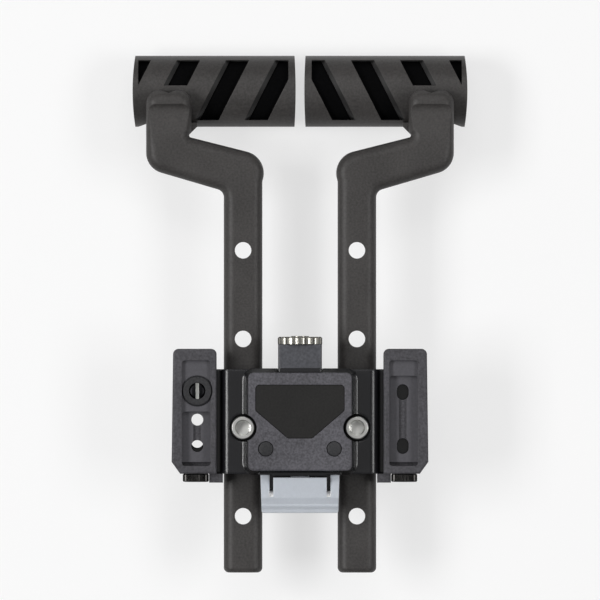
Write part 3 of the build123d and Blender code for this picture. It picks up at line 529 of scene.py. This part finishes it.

# Cover: black plastic with a bare shield-shaped panel, held by four screws. Its face is grained and
# so looks grey, its sides come out of the mould polished and are painted near black, partly their own
# black and partly painted shade, and its top edge is matt.
cover_plastic = moulded("cover_plastic", (80, 79, 84), 0.58, 0.30, mottle=0.45)
face_depth = -0.0560
flange_half = 0.0300
top_foot = -0.1524
side_black_and_shade = paint((22, 22, 24))
polish = 0.36
top_rough = 0.72
across, behind, height = cover_plastic.axes()
polished = behind > face_depth
matt_top = polished * (height > top_foot)
# Partly painted shade: the polished sides are coloured near black
cover_plastic.feed("Base Color", cover_plastic.blend(polished, cover_plastic.colour, side_black_and_shade))
cover_plastic.feed("Roughness", cover_plastic.rough - polished * polish + matt_top * top_rough)
cover_plastic.feed("Coat Weight", polished * (across.size() > flange_half))
cover_plastic.feed("Coat IOR", 1.7)
cover_plastic.feed("Coat Roughness", 0.14)
dress(cover_plastic, "front_cover")
# Painted highlight: the inlay's edges are coloured lighter
inlay_plastic = moulded("inlay_plastic", (23, 22, 21), 0.50, 0.15, edge_highlight=1.5)
dress(inlay_plastic, "cover_inlay")
dress(screw_steel, "cover_screws")

# Cover plugs: two round caps of soft dark plastic with a low dome. They are pressed into the cover
# over its lower screws.
plug_plastic = moulded("plug_plastic", (46, 46, 48), 0.50, 0.15)
plug_x = 0.0184
plug_z = -0.1929
plug_back = 0.0547
plug_radius = 0.0041
plug_height = 0.0014
plug_dome = [
    (0.0001, 0.00018), (0.00025, 0.00014), (0.0006, 0.00012), (0.0009, 0.0001), (0.001, 0.00006),
]
cover_plug = blank(round_sides, plug_radius, plug_height)
lathe(cover_plug, plug_dome)
for name, side, piece in pair(cover_plug):
    settle(piece, (side * plug_x, -plug_back, plug_z), to_front)
    fit(piece, name + "_cover_plug", plug_plastic, "cover_plugs")

# Wings: dark grey plates that carry the cable's ends, with stepped recesses. The recess floors are
# painted a little paler than the faces, as painted light against their shade.
wing_plastic = moulded("wing_plastic", (69, 68, 72), 0.56, 0.30)
recess_middle = 0.05585
recess_half = 0.0077
floor_front = -0.0425
floor_back = -0.0385
painted_floor_lit_dark = paint((70, 69, 73))
painted_floor_lit_light = paint((86, 85, 90))
across, behind, _ = wing_plastic.axes()
recess = (across.size() - recess_middle).size() < recess_half
floor = recess * (behind > floor_front) * (behind < floor_back)
painted_floor_light = wing_plastic.blend(wing_plastic.noise(fleck_scale), painted_floor_lit_dark, painted_floor_lit_light)
# Painted light: the recess floors are coloured paler
wing_plastic.feed("Base Color", wing_plastic.blend(floor, wing_plastic.colour, painted_floor_light))
dress(wing_plastic, "left_wing", "right_wing")

# Wing screws: four plated pan heads with a cross recess. They are driven from behind, two on each
# side, and hold the wings on the webs of the body.
wing_screw_x = 0.04995
wing_screw_y = -0.024
wing_screw_heights = (-0.1566, -0.1999)
pan_radius = 0.0036
pan_height = 0.0012
pan_sides = 48
pan_dome = [(0.0005, 0.00045), (0.0007, 0.0003), (0.0009, 0.0002)]
pan_shank = [(0.0016, 0.0), (hair, 0.0114), (0.0006, 0.0006)]
cross_reach = 0.0026
cross_height = 0.003
cross_thin = 0.26
cross_foot = 0.0011
cross_point = [(0.0002, 0.0004)]
wing_screw = blank(pan_sides, pan_radius, pan_height)
lathe(wing_screw, pan_dome)
lathe(wing_screw, pan_shank, up=-1)
for quarter in (0, 1):
    cross_tool = blank(4, cross_reach, cross_height)
    bpy.ops.transform.resize(value=(1.0, cross_thin, 1.0))
    lathe(cross_tool, cross_point, up=-1)
    settle(cross_tool, (0, 0, cross_foot), (0, 0, quarter * math.pi / 2))
    carve(wing_screw, cross_tool)
wing_screw_places = [(side * wing_screw_x, z) for side in (-1, 1) for z in wing_screw_heights]
wing_screw_set = [wing_screw] + [twin(wing_screw) for _ in wing_screw_places[1:]]
for number, (piece, (x, z)) in enumerate(zip(wing_screw_set, wing_screw_places)):
    settle(piece, (x, wing_screw_y, z), to_back)
    fit(piece, f"wing_screw_{number}", screw_steel, "wing_screws")

# Cable plug and its screw: a round bush of black plastic, let into the left wing, holds one end of
# the cable. The screw in it is blackened steel, and the floor of its slot is cut bare.
bush_plastic = moulded("bush_plastic", (44, 44, 46), 0.50, 0.20, edge_highlight=0.2)
dress(bush_plastic, "cable_plug")
black_steel = turned("black_steel", (34, 34, 36), 0.34)
bare_steel = turned("bare_steel", (225, 226, 222), 0.38)
cable_x = -0.05535
cable_y = -0.0376
cable_z = -0.1618
cable_radius = 0.0044
cable_height = 0.0042
cable_dome = [(0.0005, 0.0004), (0.0010, 0.00025), (0.0012, 0.00015)]
cut_reach = 0.00707
cut_height = 0.004
cut_thin = 0.17
cut_foot = 0.0034
cable_screw = blank(round_sides, cable_radius, cable_height)
lathe(cable_screw, cable_dome)
cut_tool = blank(4, cut_reach, cut_height)
settle(cut_tool, (0, 0, 0), (0, 0, math.pi / 4))
bpy.ops.transform.resize(value=(cut_thin, 1.0, 1.0), center_override=(0, 0, 0))
settle(cut_tool, (0, 0, cut_foot))
carve(cable_screw, cut_tool)
settle(cable_screw, (cable_x, cable_y, cable_z), to_front)
fit(cable_screw, "cable_end_screw", black_steel, "cable_screw")
cable_screw.data.materials.append(bare_steel.material)
cut_floor = cable_y - cut_foot
pick(cable_screw, "polygons", lambda face: abs(face.center.y - cut_floor) < hair)
cable_screw.active_material_index = 1
bpy.ops.object.material_slot_assign()
bpy.ops.object.mode_set(mode="OBJECT")

# Tension screws: knurled thumb wheels of dark-plated steel, with a socket for a key below. They are
# screwed into the feet of the wings from below.
dark_chrome = turned("dark_chrome", (48, 47, 46), 0.16, dark_share=0.4)
wheel_x = 0.05615
wheel_y = -0.0364
wheel_z = -0.2103
wheel_radius = 0.00705
wheel_height = 0.0034
wheel_edge = (0.0006, 0.0005)
shank_radius = 0.0025
shank_step = wheel_radius - wheel_edge[0] - shank_radius
wheel_shank = [wheel_edge, (shank_step, 0.0), (hair, 0.0032), (0.0004, 0.0004)]
rib_count = 28
rib_angle = math.pi / rib_count
groove_share = 0.93
key_flat = 0.0025
key_height = 0.003
key_foot = -0.001
wheel = blank(2 * rib_count, wheel_radius, wheel_height)
lathe(wheel, wheel_shank)
lathe(wheel, [wheel_edge], up=-1)


def groove(corner):
    """Tells the corners that lie in the knurl's grooves."""
    turn = round(math.atan2(corner.co.y, corner.co.x) / rib_angle)
    return math.hypot(corner.co.x, corner.co.y) > wheel_radius - hair and turn % 2 == 0


pick(wheel, "vertices", groove)
bpy.ops.transform.resize(value=(groove_share, groove_share, 1.0), center_override=(0, 0, 0))
bpy.ops.object.mode_set(mode="OBJECT")
key_tool = blank(6, key_flat / math.cos(math.pi / 6), key_height)
settle(key_tool, (0, 0, key_foot))
carve(wheel, key_tool)
for name, side, piece in pair(wheel):
    settle(piece, (side * wheel_x, wheel_y, wheel_z))
    fit(piece, name + "_tension_wheel", dark_chrome, name + "_tension_screw")

# Board: a pale matt board that stands behind the part and shows its shadow. It glows a little where
# it is seen, straight, mirrored or through something clear. From behind and for all other light it
# isn't there.
middle = (0.0, -0.030, -0.1128)
table_y = 0.012
table_size = 6.0
table_grey = (0.33, 0.33, 0.33, 1)
table_glow = 0.63
pure_white = (1, 1, 1, 1)
bpy.ops.object.select_all(action="DESELECT")
table_place = (0, table_y, middle[2])
bpy.ops.mesh.primitive_plane_add(size=table_size, location=table_place, rotation=to_front)
table = bpy.context.object
table.name = "table"
white = Finish("table_white", Roughness=0.9, Specular_IOR_Level=0.0, Emission_Strength=table_glow)
white.feed("Base Color", table_grey)
white.feed("Emission Color", pure_white)
seen = white.node("ShaderNodeLightPath", output="Is Camera Ray")
rays = seen.socket.node.outputs
for name in ("Is Glossy Ray", "Is Transmission Ray"):
    seen = seen + Value(white, rays[name])
seen = seen * (1 - white.node("ShaderNodeNewGeometry", output="Backfacing"))
clear = white.node("ShaderNodeBsdfTransparent")
pale = Value(white, white.shader.outputs[0])
mixed = white.node("ShaderNodeMixShader", inputs={0: seen, 1: clear, 2: pale})
white.join(white.tree.nodes["Material Output"].inputs["Surface"], mixed)
table.data.materials.append(white.material)


# Light: a dim white room with five soft boxes that the camera doesn't see. The strongest stands on
# the left, and one behind the board lights the part's back.
def aim(piece, place, target):
    """Puts a lamp or the camera at a place and turns it to a target."""
    piece.location = place
    way = [there - here for here, there in zip(place, target)]
    flat = math.hypot(way[0], way[1])
    piece.rotation_euler = (math.atan2(flat, -way[2]), 0, math.atan2(-way[0], way[1]))


room_light = 0.16
room = bpy.data.worlds.new("studio")
room.use_nodes = True
bpy.context.scene.world = room
room.node_tree.nodes["Background"].inputs["Color"].default_value = pure_white
room.node_tree.nodes["Background"].inputs["Strength"].default_value = room_light
for name, place, wide, tall, power in (
    ("left_box", (-2.2, -2.3, -0.1), 0.8, 1.8, 60.0),
    ("right_box", (2.2, -2.3, -0.2), 0.8, 1.8, 34.0),
    ("top_box", (0.0, -2.6, 1.8), 1.8, 1.0, 18.0),
    ("front_box", (-0.3, -3.4, 0.2), 2.0, 2.0, 5.0),
    ("back_box", (0.6, 1.8, 0.8), 1.4, 1.4, 20.0),
):
    bpy.ops.object.light_add(type="AREA")
    lamp = bpy.context.object
    lamp.name = name
    lamp.data.shape = "RECTANGLE"
    lamp.data.size = wide
    lamp.data.size_y = tall
    lamp.data.energy = power
    lamp.visible_camera = False
    aim(lamp, place, middle)

# Camera: a long lens far in front of the part, straight on, so there is next to no perspective. The
# frame's width is measured at the handlebar's axis, and is the photograph's.
camera_distance = 12.0
camera_reach = 50.0
frame_width = 0.3243
sensor_width = 36.0
bpy.ops.object.camera_add()
camera = bpy.context.object
aim(camera, (0, -camera_distance, middle[2]), (0, 0, middle[2]))
camera.data.sensor_width = sensor_width
camera.data.lens = sensor_width * camera_distance / frame_width
camera.data.clip_end = camera_reach
bpy.context.scene.camera = camera
bpy.context.scene.view_settings.view_transform = "Standard"
